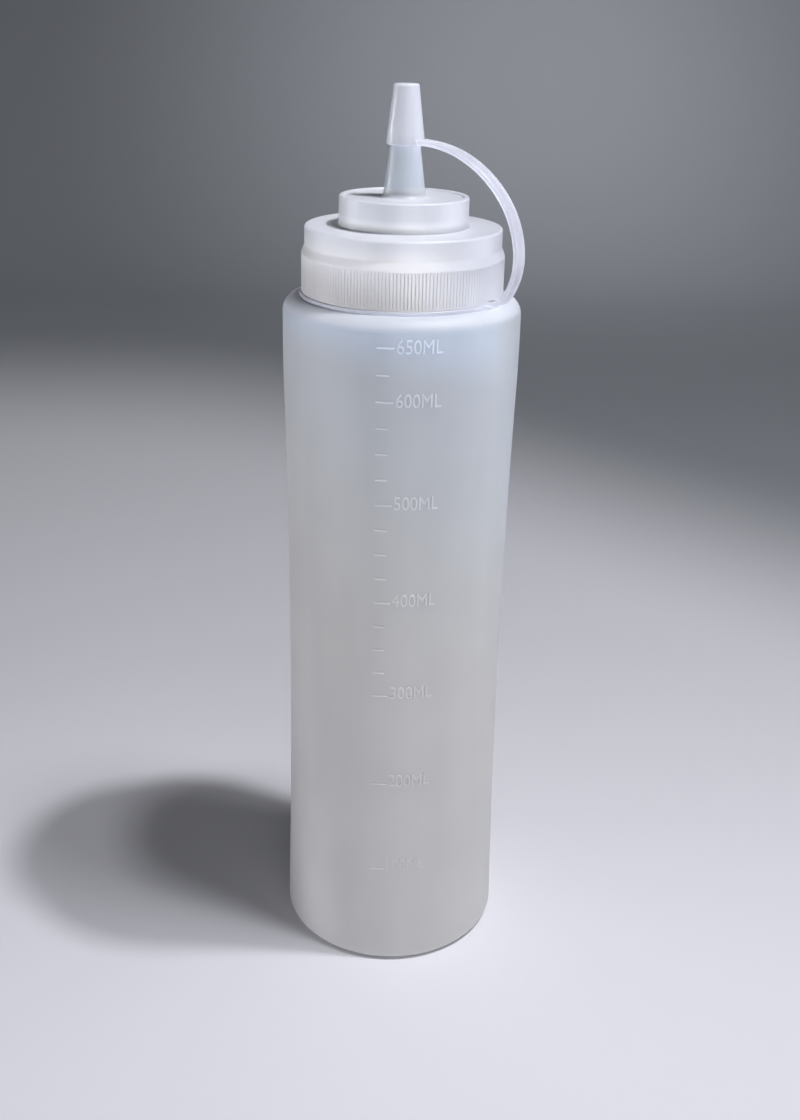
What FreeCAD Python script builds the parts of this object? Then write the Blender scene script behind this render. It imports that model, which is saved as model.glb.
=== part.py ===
import FreeCAD, Part
import os
from math import cos, degrees, pi, radians, sin, tan

# Squeeze bottle with a screw-on nozzle cap and a tethered tip cap. Millimetres, +Z up. The origin is
# on the bottle's axis in the plane that it stands on. The graduation faces -Y.

# Bottle: one blow-moulded shell of even wall.
WALL = 1.0
BASE_R = 34.2
BASE_CORNER = 2.6
FOOT_INNER_R = 28.5
PUSH_UP = 2.2
PUSH_UP_SLOPE = 9.0
WAIST_Z = 95.3
WAIST_LEAN = 0.0225
FLARE_LEAN = 0.0273
WAIST_ROUND = 3400.0
FLARE_TOP_Z = 189.0
FLARE_ROUND = 420.0
SHOULDER_Z = 208.2
SHOULDER_CORNER = 4.6
NECK_R = 25.8
SOFT_BEND = 100.0

# Graduation: raised ticks every 25 ml, longer beside the figures. Volumes in millilitres.
MARK_ZERO_Z = 2.785
MARK_RISE = 0.30282
MARK_FIRST = 100
MARK_LAST = 650
MARK_STEP = 25
NUMBER_STEP = 100
SHORT_MARKS_FROM = 325
MARK_AZIMUTH = -12.2
LONG_MARK = 5.0
SHORT_MARK = 3.5
MARK_THICK = 0.8
MARK_RELIEF = 0.3

# Tether ring: a washer that lies on the shoulder, round the neck and under the cap's skirt.
RING_INNER_R = 26.3
RING_OUTER_R = 29.8
RING_THICK = 1.2
RING_EDGE = 0.3

# Nozzle cap: skirt, lower tier, upper tier and hollow cone, in one injection moulding.
CAP_WALL = 1.5
SKIRT_R = 29.2
SKIRT_INNER_R = 27.5
SKIRT_H = 11.0
RIBS = 184
RIB_DEPTH = 0.35
RIB_END = 0.6
RIB_SINK = 0.05
RIB_BITE = 0.05
STEP_H = 2.2
LOWER_R = 28.3
LOWER_TOP_Z = 228.2
LOWER_RIM = 0.5
UPPER_R = 18.6
UPPER_DRAFT = 0.15
UPPER_TOP_Z = 236.6
UPPER_RIM = 0.4
LIP_W = 1.3
LIP_H = 0.5
NOZZLE_REF_Z = 250.0
NOZZLE_REF_R = 4.34
NOZZLE_LEAN = 0.1255
NOZZLE_ROOT = 1.6
NOZZLE_WALL = 1.1
NOZZLE_TIP_Z = 265.4

# Tip cap: a closed cone pressed over the nozzle, on a strap that ends at the tether ring.
TIP_TOP_Z = 267.0
TIP_TOP_R = 3.52
TIP_BOTTOM_Z = 250.7
TIP_BOTTOM_R = 5.52
TIP_EDGE = 0.7
TIP_FIT = 0.05
STRAP_AZIMUTH = -33.0
STRAP_W = 4.8
STRAP_T = 1.45
STRAP_START_R = 4.6
STRAP_BEND_R = 5.0
STRAP_START_Z = 251.44
STRAP_RISE = 1.5
STRAP_BENDS = ((32.8, 56.8), (26.7, 31.3), (19.7, 38.0), (4.3, 55.4))
STRAP_END_R = 29.5
LUG_ROOT_W = 8.4
LUG_END_W = 5.2
LUG_ROOT_R = 28.6
LUG_END_R = 31.2

FRONT_AZIMUTH = -90.0
TOUCH = 1e-6
AXIS = FreeCAD.Vector(0, 0, 1)
ORIGIN = FreeCAD.Vector(0, 0, 0)


def at(r, z):
    """A point of an outline: r from the axis, at height z."""
    return FreeCAD.Vector(r, 0, z)


def left_of(way):
    """The direction a quarter turn to the left of way, in an outline's plane."""
    return FreeCAD.Vector(-way.z, 0, way.x)


def inset_path(corners, inset):
    """The open path through corners (r, z, radius), moved to its left by inset.

    A rounded corner keeps its centre, so that a wall between two such paths is even."""
    places = [at(r, z) for r, z, _ in corners]
    ways = [(b - a).normalize() for a, b in zip(places, places[1:])]
    moved = [places[0] + left_of(ways[0]) * inset]
    radii = [0]
    for place, (_, _, radius), before, after in zip(places[1:-1], corners[1:-1], ways, ways[1:]):
        both = left_of(before) + left_of(after)
        moved.append(place + both * (inset / (1 + before.dot(after))))
        bends_left = left_of(before).dot(after) > 0
        shift = -inset if bends_left else inset
        radii.append(radius + shift if radius > 0 else 0)
    moved.append(places[-1] + left_of(ways[-1]) * inset)
    radii.append(0)
    return [(place.x, place.z, radius) for place, radius in zip(moved, radii)]


def rounded_edges(corners, closed):
    """Straight runs through corners (r, z, radius), each corner rounded by a curve tangent to both.

    A tight corner is an arc. A bend of more than SOFT_BEND is a parabola, which at these small
    angles is the same line."""
    count = len(corners)
    places = [at(r, z) for r, z, _ in corners]
    edges = []
    stops = []
    for i, (_, _, radius) in enumerate(corners):
        here = places[i]
        if radius <= 0 or not (closed or 0 < i < count - 1):
            stops.append((here, here))
            continue
        back = (places[i - 1] - here).normalize()
        ahead = (places[(i + 1) % count] - here).normalize()
        half = back.getAngle(ahead) / 2
        reach = radius / tan(half)
        entry = here + back * reach
        leave = here + ahead * reach
        stops.append((entry, leave))
        if radius > SOFT_BEND:
            curve = Part.BezierCurve()
            curve.setPoles([entry, here, leave])
            edges.append(curve.toShape())
        else:
            centre = here + (back + ahead).normalize() * (radius / sin(half))
            middle = centre + (here - centre).normalize() * radius
            edges.append(Part.Arc(entry, middle, leave).toShape())
    following = stops[1:] + stops[:1] if closed else stops[1:]
    for (_, leave), (entry, _) in zip(stops, following):
        if leave.distanceToPoint(entry) > TOUCH:
            edges.append(Part.makeLine(leave, entry))
    return edges


def turned(corners):
    """The solid made by turning a closed outline round the axis."""
    outline = Part.Wire(Part.sortEdges(rounded_edges(corners, True))[0])
    return Part.Face(outline).revolve(ORIGIN, AXIS, 360)


def nozzle_r(z):
    """Outer radius of the nozzle's cone at height z."""
    return NOZZLE_REF_R + NOZZLE_LEAN * (NOZZLE_REF_Z - z)


def neck_top():
    """Height of the mouth's rim, which the lower tier's plate seals."""
    return LOWER_TOP_Z - CAP_WALL


def waist_r():
    """Radius at which the side's two straight runs would meet."""
    return BASE_R - WAIST_LEAN * WAIST_Z


def side_r():
    """Radius of the side's upright top, below the shoulder."""
    return waist_r() + FLARE_LEAN * (FLARE_TOP_Z - WAIST_Z)


def wall_r(z):
    """Outer radius of the side at height z: two straight runs, blended over the waist's bend."""
    reach = WAIST_ROUND * (WAIST_LEAN + FLARE_LEAN) / 2
    along = (z - WAIST_Z + reach) / (2 * reach)
    if along <= 0:
        return BASE_R - WAIST_LEAN * z
    if along >= 1:
        return min(waist_r() + FLARE_LEAN * (z - WAIST_Z), side_r())
    low_r = waist_r() + WAIST_LEAN * reach
    high_r = waist_r() + FLARE_LEAN * reach
    return low_r * (1 - along) ** 2 + 2 * waist_r() * along * (1 - along) + high_r * along ** 2


def make_mark(volume, length):
    """A raised tick: a short bar that follows the wall, to the right of MARK_AZIMUTH."""
    z = MARK_ZERO_Z + MARK_RISE * volume
    radius = wall_r(z)
    low = z - MARK_THICK / 2
    section = Part.makePolygon(
        [
            at(radius - WALL / 2, low),
            at(radius + MARK_RELIEF, low),
            at(radius + MARK_RELIEF, low + MARK_THICK),
            at(radius - WALL / 2, low + MARK_THICK),
            at(radius - WALL / 2, low),
        ]
    )
    bar = Part.Face(section).revolve(ORIGIN, AXIS, degrees(length / radius))
    bar.rotate(ORIGIN, AXIS, FRONT_AZIMUTH + MARK_AZIMUTH)
    return bar


def make_marks():
    """The ticks beside the figures, and the short ones between them on the upper half."""
    numbered = [*range(MARK_FIRST, MARK_LAST, NUMBER_STEP), MARK_LAST]
    between = [v for v in range(SHORT_MARKS_FROM, MARK_LAST, MARK_STEP) if v not in numbered]
    return [make_mark(v, LONG_MARK) for v in numbered] + [make_mark(v, SHORT_MARK) for v in between]


def make_bottle():
    """The shell: push-up base, waisted side, flat shoulder and plain neck under the skirt."""
    outside = [
        (0, PUSH_UP, 0),
        (FOOT_INNER_R - PUSH_UP_SLOPE, PUSH_UP, 0),
        (FOOT_INNER_R, 0, 0),
        (BASE_R, 0, BASE_CORNER),
        (waist_r(), WAIST_Z, WAIST_ROUND),
        (side_r(), FLARE_TOP_Z, FLARE_ROUND),
        (side_r(), SHOULDER_Z, SHOULDER_CORNER),
        (NECK_R, SHOULDER_Z, 0),
        (NECK_R, neck_top(), 0),
    ]
    inside = inset_path(outside, WALL)
    edges = rounded_edges(outside, False) + rounded_edges(inside, False)
    for (r, z, _), (inner_r, inner_z, _) in ((outside[0], inside[0]), (outside[-1], inside[-1])):
        edges.append(Part.makeLine(at(r, z), at(inner_r, inner_z)))
    outline = Part.Wire(Part.sortEdges(edges)[0])
    shell = Part.Face(outline).revolve(ORIGIN, AXIS, 360)
    return shell.fuse(make_marks())


def make_ribs(low_z, high_z):
    """The knurl: a ring of upright V-shaped ribs."""
    crest_r = SKIRT_R - RIB_SINK
    root_r = crest_r - RIB_DEPTH
    points = []
    for rib in range(RIBS):
        for part, r in ((0, crest_r), (0.5, root_r)):
            turn = 2 * pi * (rib + part) / RIBS
            points.append(FreeCAD.Vector(r * cos(turn), r * sin(turn), low_z))
    outside = Part.makePolygon(points + points[:1])
    inside = Part.Wire(Part.makeCircle((root_r + SKIRT_INNER_R) / 2, AXIS * low_z, AXIS))
    section = Part.makeFace([outside, inside], "Part::FaceMakerBullseye")
    return section.extrude(AXIS * (high_z - low_z))


def make_nozzle_cap():
    """Skirt, two tiers and the hollow cone, turned from one outline, with the knurl let in."""
    skirt_z = SHOULDER_Z + RING_THICK
    step_z = skirt_z + SKIRT_H
    rib_low_z = skirt_z + RIB_END
    rib_high_z = step_z - RIB_END
    groove_r = SKIRT_R - RIB_SINK - RIB_DEPTH - RIB_BITE
    floor_z = UPPER_TOP_Z - LIP_H
    upper_top_r = UPPER_R - UPPER_DRAFT
    plate_z = neck_top()
    ceiling_z = floor_z - CAP_WALL
    upper_inner_r = UPPER_R - CAP_WALL
    cap = turned(
        [
            (SKIRT_INNER_R, skirt_z, 0),
            (SKIRT_R, skirt_z, 0),
            (SKIRT_R, rib_low_z, 0),
            (groove_r, rib_low_z, 0),
            (groove_r, rib_high_z, 0),
            (SKIRT_R, rib_high_z, 0),
            (SKIRT_R, step_z, 0),
            (LOWER_R, step_z + STEP_H, 0),
            (LOWER_R, LOWER_TOP_Z - LOWER_RIM, 0),
            (LOWER_R - LOWER_RIM, LOWER_TOP_Z, 0),
            (UPPER_R, LOWER_TOP_Z, 0),
            (upper_top_r, UPPER_TOP_Z - UPPER_RIM, 0),
            (upper_top_r - UPPER_RIM, UPPER_TOP_Z, 0),
            (upper_top_r - LIP_W, UPPER_TOP_Z, 0),
            (upper_top_r - LIP_W - LIP_H, floor_z, 0),
            (nozzle_r(floor_z), floor_z, NOZZLE_ROOT),
            (nozzle_r(NOZZLE_TIP_Z), NOZZLE_TIP_Z, 0),
            (nozzle_r(NOZZLE_TIP_Z) - NOZZLE_WALL, NOZZLE_TIP_Z, 0),
            (nozzle_r(ceiling_z) - NOZZLE_WALL, ceiling_z, 0),
            (upper_inner_r, ceiling_z, 0),
            (upper_inner_r, plate_z, 0),
            (SKIRT_INNER_R, plate_z, 0),
        ]
    )
    return cap.fuse(make_ribs(rib_low_z, rib_high_z))


def make_sleeve():
    """The closed cone over the nozzle, seated on the nozzle's tip."""
    return turned(
        [
            (nozzle_r(TIP_BOTTOM_Z) + TIP_FIT, TIP_BOTTOM_Z, 0),
            (TIP_BOTTOM_R, TIP_BOTTOM_Z, 0),
            (TIP_TOP_R, TIP_TOP_Z, TIP_EDGE),
            (0, TIP_TOP_Z, 0),
            (0, NOZZLE_TIP_Z, 0),
            (nozzle_r(NOZZLE_TIP_Z) + TIP_FIT, NOZZLE_TIP_Z, 0),
        ]
    )


def make_ring():
    """The washer round the neck."""
    top_z = SHOULDER_Z + RING_THICK
    return turned(
        [
            (RING_INNER_R, SHOULDER_Z, 0),
            (RING_OUTER_R - RING_EDGE, SHOULDER_Z, 0),
            (RING_OUTER_R, SHOULDER_Z + RING_EDGE, 0),
            (RING_OUTER_R, top_z - RING_EDGE, 0),
            (RING_OUTER_R - RING_EDGE, top_z, 0),
            (RING_INNER_R, top_z, 0),
        ]
    )


def strap_side(offset, lead_in, lead_out):
    """One long side of the strap's outline: its centre line moved outwards by offset.

    Returns the edges from the tip cap to the ring, and the two end points."""
    heading = radians(STRAP_RISE)
    centre_line = at(STRAP_BEND_R, STRAP_START_Z)
    normal = at(-sin(heading), cos(heading))
    start = centre_line + normal * offset - at(cos(heading), sin(heading)) * lead_in
    place = centre_line + normal * offset
    edges = [Part.makeLine(start, place)]
    for radius, sweep in STRAP_BENDS:
        hub = centre_line - normal * radius
        turn = radians(sweep)
        middle_way = at(-sin(heading - turn / 2), cos(heading - turn / 2))
        heading -= turn
        normal = at(-sin(heading), cos(heading))
        middle = hub + middle_way * (radius + offset)
        end = hub + normal * (radius + offset)
        edges.append(Part.Arc(place, middle, end).toShape())
        centre_line = hub + normal * radius
        place = end
    finish = at(lead_out, place.z)
    edges.append(Part.makeLine(place, finish))
    return edges, start, finish


def make_strap():
    """The bent strap: its outline in the plane through the axis, given its width."""
    lead_in = STRAP_BEND_R - STRAP_START_R
    outer, outer_start, outer_end = strap_side(STRAP_T / 2, lead_in, STRAP_END_R)
    inner, inner_start, inner_end = strap_side(-STRAP_T / 2, lead_in, STRAP_END_R)
    ends = [Part.makeLine(outer_end, inner_end), Part.makeLine(inner_start, outer_start)]
    outline = Part.Wire(Part.sortEdges(outer + inner + ends)[0])
    strap = Part.Face(outline).extrude(FreeCAD.Vector(0, STRAP_W, 0))
    strap.translate(FreeCAD.Vector(0, -STRAP_W / 2, 0))
    return strap


def make_lug():
    """The tab that widens the ring where the strap leaves it."""
    outline = [
        FreeCAD.Vector(LUG_ROOT_R, -LUG_ROOT_W / 2, SHOULDER_Z),
        FreeCAD.Vector(LUG_END_R, -LUG_END_W / 2, SHOULDER_Z),
        FreeCAD.Vector(LUG_END_R, LUG_END_W / 2, SHOULDER_Z),
        FreeCAD.Vector(LUG_ROOT_R, LUG_ROOT_W / 2, SHOULDER_Z),
    ]
    face = Part.Face(Part.makePolygon(outline + outline[:1]))
    return face.extrude(AXIS * RING_THICK)


def make_tip_cap():
    """Sleeve, strap, lug and ring, moulded in one and turned to the strap's place."""
    tether = make_ring().fuse([make_lug(), make_strap(), make_sleeve()])
    tether = tether.removeSplitter()
    tether.rotate(ORIGIN, AXIS, STRAP_AZIMUTH)
    return tether


def main():
    """Builds each piece, tests that it is one closed solid and writes it."""
    os.makedirs("parts", exist_ok=True)
    pieces = {
        "bottle": make_bottle(),
        "nozzle_cap": make_nozzle_cap(),
        "tip_cap": make_tip_cap(),
    }
    for name, shape in pieces.items():
        if shape.ShapeType != "Solid":
            shape = shape.Solids[0] if len(shape.Solids) == 1 else shape
        if shape.ShapeType != "Solid" or not shape.isValid() or shape.Volume <= 0:
            raise RuntimeError(f"{name} is not one valid solid")
        shape.exportStep(f"parts/{name}.step")
        box = shape.optimalBoundingBox()
        volume = shape.Volume / 1000
        print(f"{name}: {volume:.2f} cm3, z {box.ZMin:.2f} to {box.ZMax:.2f}, x to {box.XMax:.2f}")


main()
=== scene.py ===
"""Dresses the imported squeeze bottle: a frosted shell, its screw cap and the tethered tip cap.

Metres, +Z up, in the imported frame. The graduation faces -Y.
"""

from __future__ import annotations

import logging
import math
from bisect import bisect
from dataclasses import dataclass
from enum import Enum
from functools import lru_cache
from typing import Callable, Iterable, Mapping, Optional, Sequence, Union

import bmesh
import bpy
from mathutils import Matrix, Vector


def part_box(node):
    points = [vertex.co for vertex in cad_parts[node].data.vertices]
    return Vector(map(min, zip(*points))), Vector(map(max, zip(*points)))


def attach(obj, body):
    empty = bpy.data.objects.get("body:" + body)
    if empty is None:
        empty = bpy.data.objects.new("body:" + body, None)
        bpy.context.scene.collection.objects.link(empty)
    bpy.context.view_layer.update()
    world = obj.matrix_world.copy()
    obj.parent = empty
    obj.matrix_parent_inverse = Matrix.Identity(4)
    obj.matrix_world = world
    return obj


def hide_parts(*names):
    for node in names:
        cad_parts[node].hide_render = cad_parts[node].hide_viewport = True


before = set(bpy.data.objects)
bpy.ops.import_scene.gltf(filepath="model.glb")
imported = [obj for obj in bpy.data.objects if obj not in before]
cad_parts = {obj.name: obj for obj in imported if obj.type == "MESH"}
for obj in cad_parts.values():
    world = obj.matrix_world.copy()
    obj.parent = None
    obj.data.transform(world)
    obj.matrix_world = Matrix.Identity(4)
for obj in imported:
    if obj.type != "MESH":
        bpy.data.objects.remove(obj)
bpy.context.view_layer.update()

LOG = logging.getLogger("squeeze_bottle")
MM = 0.001
DEG = math.radians(1)
AROUND = 192
ARC_STEP = 12 * DEG
ROW_GAP = 4 * MM
FLAT = 1e-9
CREASE = 32 * DEG
WIDE = 64 * DEG
NARROW = 22 * DEG
BODY = "root"
# Point attribute holding how much paler raised marks are painted, a painted highlight.
MARK_HIGHLIGHT = "relief"

Thing = bpy.types.Object
Material = bpy.types.Material
Node = bpy.types.Node
Socket = bpy.types.NodeSocket
Colour = tuple[float, float, float]
Place = tuple[float, float, float]
Point = tuple[float, float]


# ---- node trees


def term_maths(operation: str, swapped: bool = False) -> Callable[["Signal", "Value"], "Signal"]:
    """Makes an operator of Signal from an operation of the Math node.

    Args:
        operation: the Math node's operation.
        swapped: puts the other term first, as a reflected operator does.

    Returns:
        The operator's method.
    """
    def method(signal: "Signal", other: "Value") -> "Signal":
        """Returns the operation on a signal and another term."""
        return signal.maths(operation, *((other, signal) if swapped else (signal, other)))
    return method


@dataclass(frozen=True)
class Signal:
    """One output socket of a tree, on which Python's operators add Math nodes."""

    sheet: "NodeSheet"
    socket: Socket

    def maths(self, operation: str, *terms: "Value") -> "Signal":
        """Returns the result of a Math node on terms."""
        return self.sheet.signal("ShaderNodeMath", dict(enumerate(terms)), operation=operation)

    __add__ = __radd__ = term_maths("ADD")
    __sub__ = term_maths("SUBTRACT")
    __rsub__ = term_maths("SUBTRACT", swapped=True)
    __mul__ = __rmul__ = term_maths("MULTIPLY")
    __truediv__ = term_maths("DIVIDE")
    __rtruediv__ = term_maths("DIVIDE", swapped=True)
    __mod__ = term_maths("MODULO")
    __rmod__ = term_maths("MODULO", swapped=True)
    __lt__ = term_maths("LESS_THAN")
    __gt__ = term_maths("GREATER_THAN")
    either = term_maths("MAXIMUM")

    def ramp(self, low: float, high: float) -> "Signal":
        """Returns a smooth step from 0 at low to 1 at high; low may be the larger."""
        return self.sheet.signal(
            "ShaderNodeMapRange", {"Value": self, "From Min": low, "From Max": high},
            interpolation_type="SMOOTHSTEP", clamp=True)


Value = Union[float, Signal]
Inputs = Mapping[Union[str, int], object]


class NodeSheet:
    """A shader or geometry tree that is filled by one method."""

    def __init__(self, tree: bpy.types.NodeTree) -> None:
        """Takes the tree to fill and empties it."""
        self.tree = tree
        tree.nodes.clear()

    def node(self, kind: str, inputs: Optional[Inputs] = None,
             **settings: object) -> Node:
        """Adds a node, sets its options first and then its sockets.

        Args:
            kind: the node's type name.
            inputs: sockets by name or place; a signal, socket or node is linked, the rest is set.
            **settings: attributes of the node, such as its operation.

        Returns:
            The new node.
        """
        node = self.tree.nodes.new(kind)
        for name, setting in settings.items():
            setattr(node, name, setting)
        for key, value in (inputs or {}).items():
            if isinstance(value, Node):
                value = value.outputs[0]
            elif isinstance(value, Signal):
                value = value.socket
            if isinstance(value, Socket):
                self.tree.links.new(value, node.inputs[key])
            else:
                node.inputs[key].default_value = value
        return node

    def signal(self, kind: str, inputs: Optional[Inputs] = None, output: Union[str, int] = 0,
               **settings: object) -> Signal:
        """Adds a node and returns one of its outputs as a signal."""
        return Signal(self, self.node(kind, inputs, **settings).outputs[output])

    def blend(self, factor: Value, first: object, second: object, kind: str = "MIX") -> Signal:
        """Returns a colour between first, at factor 0, and their mix with second, at factor 1."""
        return self.signal("ShaderNodeMix", {"Factor": factor, 6: first, 7: second}, 2,
                           data_type="RGBA", blend_type=kind)

    def vector(self, x: Value = 0.0, y: Value = 0.0, z: Value = 0.0) -> Signal:
        """Returns a vector of three values."""
        return self.signal("ShaderNodeCombineXYZ", {"X": x, "Y": y, "Z": z})

    def place(self) -> Signal:
        """Returns the shaded point in the object's own coordinates."""
        return self.signal("ShaderNodeTexCoord", output="Object")

    def axes(self, place: Signal) -> tuple[Signal, ...]:
        """Returns the X, Y and Z of a vector."""
        split = self.node("ShaderNodeSeparateXYZ", {0: place})
        return tuple(Signal(self, output) for output in split.outputs)

    def noise(self, place: Signal, scale: float, detail: float) -> Signal:
        """Returns fractal noise with so many features a metre."""
        return self.signal("ShaderNodeTexNoise",
                           {"Vector": place, "Scale": scale, "Detail": detail})

    def bump(self, height: Signal, strength: float, depth: float) -> Signal:
        """Returns normals tilted by a relief of so many metres."""
        return self.signal("ShaderNodeBump",
                           {"Height": height, "Strength": strength, "Distance": depth})


def painted(name: str) -> tuple[Material, NodeSheet]:
    """Starts a material.

    Args:
        name: the material's name.

    Returns:
        The material and its emptied tree.
    """
    material = bpy.data.materials.new(name)
    material.use_nodes = True
    return material, NodeSheet(material.node_tree)


def rgba(colour: Colour) -> tuple[float, float, float, float]:
    """Returns a colour with an alpha of 1."""
    return (*colour, 1.0)


# ---- finishes


@dataclass(frozen=True)
class Drift:
    """A gradual change to another colour up a piece, sooner on its +X side where it leans."""

    colour: Colour
    from_z: float
    to_z: float
    lean: float = 0.0


@dataclass(frozen=True)
class MilkyPlastic:
    """Low-density polyethylene, unpigmented, which scatters light through its thin wall.

    The colour drifts up the height of the piece and across it, mostly painted light and shade:
    paler and bluer where light comes through the wall and what lies behind it, darker where the
    lamps fall strongest. Raised marks are painted paler, a painted highlight, and the moulding
    leaves faint streaks and a fine matt grain.
    """

    name: str
    colour: Colour
    drifts: tuple[Drift, ...]
    roughness: float
    scatter: float
    streak_size: float
    streak_contrast: float = 0.03
    # How much paler raised marks are painted, a painted highlight.
    highlight_gain: float = 0.0
    grain_size: float = 0.6 * MM
    grain_depth: float = 0.008 * MM
    grain_detail: float = 2.0
    streak_detail: float = 3.0
    streak_squash: float = 0.12
    streak_relief: float = 0.6
    cloud_scale: float = 0.35
    mottle_range: Point = (0.35, 0.65)
    bump_strength: float = 0.6
    rough_spread: float = 0.08
    scatter_tint: Colour = (1.0, 0.96, 0.90)
    ior: float = 1.51

    def material(self) -> Material:
        """Builds the finish.

        Returns:
            The material, under the finish's name.
        """
        material, sheet = painted(self.name)
        place = sheet.place()
        x, _, z = sheet.axes(place)
        tone: object = rgba(self.colour)
        # The drifts paint most of the piece's light and shade into its colour.
        for drift in self.drifts:
            share = (z + x * drift.lean).ramp(drift.from_z, drift.to_z)
            tone = sheet.blend(share, tone, rgba(drift.colour))
        stretched = sheet.signal("ShaderNodeMapping",
                                 {"Vector": place, "Scale": (1.0, 1.0, self.streak_squash)})
        streaks = sheet.noise(stretched, 1 / self.streak_size, self.streak_detail)
        clouds = sheet.noise(place, self.cloud_scale / self.streak_size, self.grain_detail)
        grain = sheet.noise(place, 1 / self.grain_size, self.grain_detail)
        mottle = (streaks + clouds) * 0.5
        # Raised marks are painted paler by their attribute, a painted highlight.
        raised = sheet.signal("ShaderNodeAttribute", output="Fac", attribute_name=MARK_HIGHLIGHT)
        gain = (1 - (1 - mottle.ramp(*self.mottle_range)) * self.streak_contrast) * (
            1 + raised * self.highlight_gain)
        shade = sheet.signal("ShaderNodeCombineColor", {0: gain, 1: gain, 2: gain})
        relief = grain + streaks * self.streak_relief
        shader = sheet.node("ShaderNodeBsdfPrincipled", {
            "Base Color": sheet.blend(1.0, tone, shade, "MULTIPLY"),
            "Roughness": mottle * self.rough_spread + (self.roughness - self.rough_spread / 2),
            "IOR": self.ior,
            "Subsurface Weight": 1.0,
            "Subsurface Radius": self.scatter_tint,
            "Subsurface Scale": self.scatter,
            "Normal": sheet.bump(relief, self.bump_strength, self.grain_depth),
        }, subsurface_method="RANDOM_WALK")
        sheet.node("ShaderNodeOutputMaterial", {"Surface": shader})
        return material


# Painted light and shade on the body: it is painted paler on its lower left, where the lamps give
# little light; bluer towards the top and paler and bluer just below the shoulder, a painted glow
# of light coming through it; darker high on the right, where the lamps fall strongest; and paler
# on the top of the shoulder, a painted highlight. Raised marks are painted paler still, a painted
# highlight.
FROSTED_BODY = MilkyPlastic(
    name="frosted_body", colour=(0.63, 0.625, 0.62),
    drifts=(Drift((0.478, 0.475, 0.466), -0.28, -0.10, 10.0),
            Drift((0.472, 0.504, 0.542), 0.10, 0.22, 0.7),
            Drift((0.52, 0.585, 0.67), 0.190, 0.204, 0.15),
            Drift((0.49, 0.525, 0.565), 0.43, 0.50, 10.0),
            Drift((0.65, 0.68, 0.73), 0.2045, 0.2065)),
    roughness=0.52, scatter=0.9 * MM, streak_size=9 * MM, streak_contrast=0.05,
    highlight_gain=0.30, grain_size=0.45 * MM, grain_depth=0.02 * MM)
# Painted light and shade on the cap: the skirt is painted darker low down and paler towards its
# top, painted shade and a painted glow of light that comes through the cap; both tiers are painted
# darker, painted shade where the steep lamps fall strongest; a thin pale band at the upper tier's
# foot is painted light over its shadow; and the right side is painted darker, painted shade where
# the lamps fall strongest and the strap casts no shadow. The cap is also darker from the nozzle's
# foot up.
MILKY_CAP = MilkyPlastic(
    name="milky_cap", colour=(0.62, 0.615, 0.61),
    drifts=(Drift((0.89, 0.89, 0.905), 0.208, 0.2205, 0.2),
            Drift((0.75, 0.77, 0.81), 0.2222, 0.2275),
            Drift((0.98, 0.98, 1.0), 0.2284, 0.2288),
            Drift((0.72, 0.74, 0.78), 0.2292, 0.2325),
            Drift((0.53, 0.575, 0.63), 0.238, 0.240),
            Drift((0.64, 0.655, 0.705), 0.24, 0.46, 10.0)),
    roughness=0.40, scatter=0.8 * MM, streak_size=6 * MM)
MILKY_TETHER = MilkyPlastic(
    name="milky_tether", colour=(0.56, 0.575, 0.64),
    drifts=(Drift((0.70, 0.72, 0.77), 0.249, 0.254),),
    roughness=0.36, scatter=1.2 * MM, streak_size=4 * MM)


# ---- outlines and meshes


def polar(radius: float, angle: float, z: float) -> Place:
    """Returns the place at a radius, an angle from +X and a height."""
    return radius * math.cos(angle), radius * math.sin(angle), z


def linked(name: str, data: bpy.types.ID) -> Thing:
    """Puts data into the scene.

    Args:
        name: the object's name.
        data: a mesh, curve, light or camera.

    Returns:
        The new object that shows it.
    """
    thing = bpy.data.objects.new(name, data)
    bpy.context.scene.collection.objects.link(thing)
    return thing


@dataclass(frozen=True)
class Corner:
    """A corner of an outline: its distance from the axis, its height and its rounding."""

    r: float
    z: float
    radius: float = 0.0


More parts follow.
